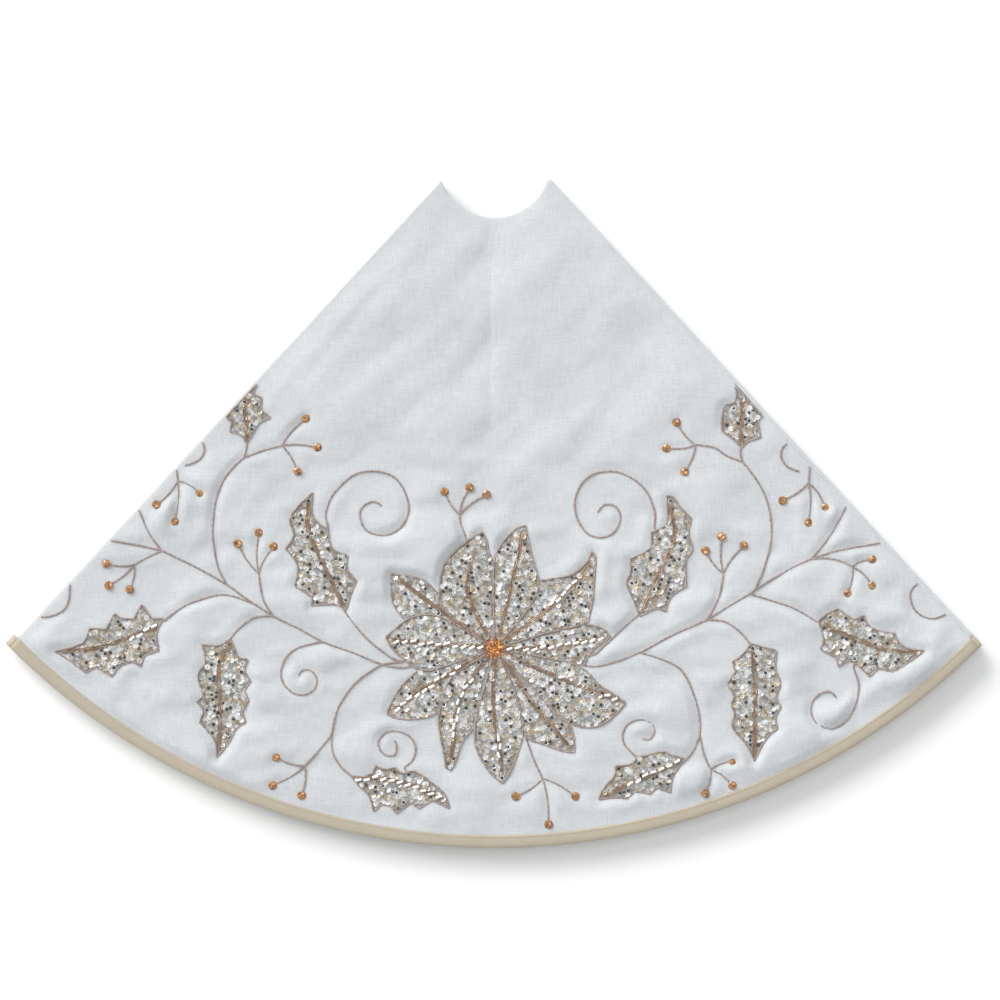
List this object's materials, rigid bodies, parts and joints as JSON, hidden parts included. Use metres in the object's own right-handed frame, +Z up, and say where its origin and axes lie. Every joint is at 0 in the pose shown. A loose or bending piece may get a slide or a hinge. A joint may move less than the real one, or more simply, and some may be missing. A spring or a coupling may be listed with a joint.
{
  "type": "tree skirt",
  "caption": "Round lined tree skirt folded into quarters, with a sequinned flower, holly leaves and beaded vines; opens out flat along its fold lines.",
  "frame": {"origin": "centre of the neck arc, level with the outer face of the lowest quarter's cloth; its beads stand 3.2 mm below that", "axes": "+Z up, out of the top quarter's embroidered face; -Y from the neck to the middle of the hem; +X to the right across the quarter"},
  "size_m": [0.9806, 0.673, 0.035],
  "materials": {
    "face_cloth": "plain white weave",
    "lining": "smooth white lining",
    "interlining": "soft felt",
    "binding": "taupe sateen tape",
    "sequins": "silver and champagne sequins on net",
    "rib_beads": "silver-lined bugle beads with copper thread",
    "couched_cord": "twisted taupe cord",
    "amber_beads": "faceted amber beads",
    "hook_tape": "nylon hook tape",
    "loop_tape": "brushed loop tape"
  },
  "bodies": {
    "quarter_1": {"face_cloth_1": "face_cloth", "interlining_1": "interlining", "lining_1": "lining", "hem_binding_1": "binding", "petals_1": "sequins", "petal_ribs_1": "rib_beads", "flower_centre_1": "amber_beads", "holly_leaves_1": "sequins", "leaf_ribs_1": "rib_beads", "vine_cords_1": "couched_cord", "berry_twigs_1": "couched_cord", "berries_1": "amber_beads", "slit_facing_1": "lining", "hook_patches_1": "hook_tape", "fold_1_2": "face_cloth"},
    "quarter_2": {"face_cloth_2": "face_cloth", "interlining_2": "interlining", "lining_2": "lining", "hem_binding_2": "binding", "petals_2": "sequins", "petal_ribs_2": "rib_beads", "flower_centre_2": "amber_beads", "holly_leaves_2": "sequins", "leaf_ribs_2": "rib_beads", "vine_cords_2": "couched_cord", "berry_twigs_2": "couched_cord", "berries_2": "amber_beads", "fold_2_3": "lining"},
    "quarter_3": {"face_cloth_3": "face_cloth", "interlining_3": "interlining", "lining_3": "lining", "hem_binding_3": "binding", "petals_3": "sequins", "petal_ribs_3": "rib_beads", "flower_centre_3": "amber_beads", "holly_leaves_3": "sequins", "leaf_ribs_3": "rib_beads", "vine_cords_3": "couched_cord", "berry_twigs_3": "couched_cord", "berries_3": "amber_beads", "fold_3_4": "face_cloth"},
    "quarter_4": {"face_cloth_4": "face_cloth", "interlining_4": "interlining", "lining_4": "lining", "hem_binding_4": "binding", "petals_4": "sequins", "petal_ribs_4": "rib_beads", "flower_centre_4": "amber_beads", "holly_leaves_4": "sequins", "leaf_ribs_4": "rib_beads", "vine_cords_4": "couched_cord", "berry_twigs_4": "couched_cord", "berries_4": "amber_beads", "slit_facing_4": "lining", "loop_patches_4": "loop_tape"}
  },
  "joints": [
    {"name": "unfold_1_2", "type": "hinge", "parent": "quarter_1", "child": "quarter_2", "pos_m": [0.05337, -0.01924, 0.0237], "axis": [0.6794, -0.7337, 0], "range_deg": [0, 179.9], "deforming": ["fold_1_2"]},
    {"name": "unfold_2_3", "type": "hinge", "parent": "quarter_2", "child": "quarter_3", "pos_m": [-0.05337, -0.01924, 0.0143], "axis": [0.6794, 0.7337, 0], "range_deg": [0, 179.9], "deforming": ["fold_2_3"]},
    {"name": "unfold_3_4", "type": "hinge", "parent": "quarter_3", "child": "quarter_4", "pos_m": [0.05337, -0.01924, 0.0049], "axis": [0.6794, -0.7337, 0], "range_deg": [0, 179.9], "deforming": ["fold_3_4"]}
  ]
}
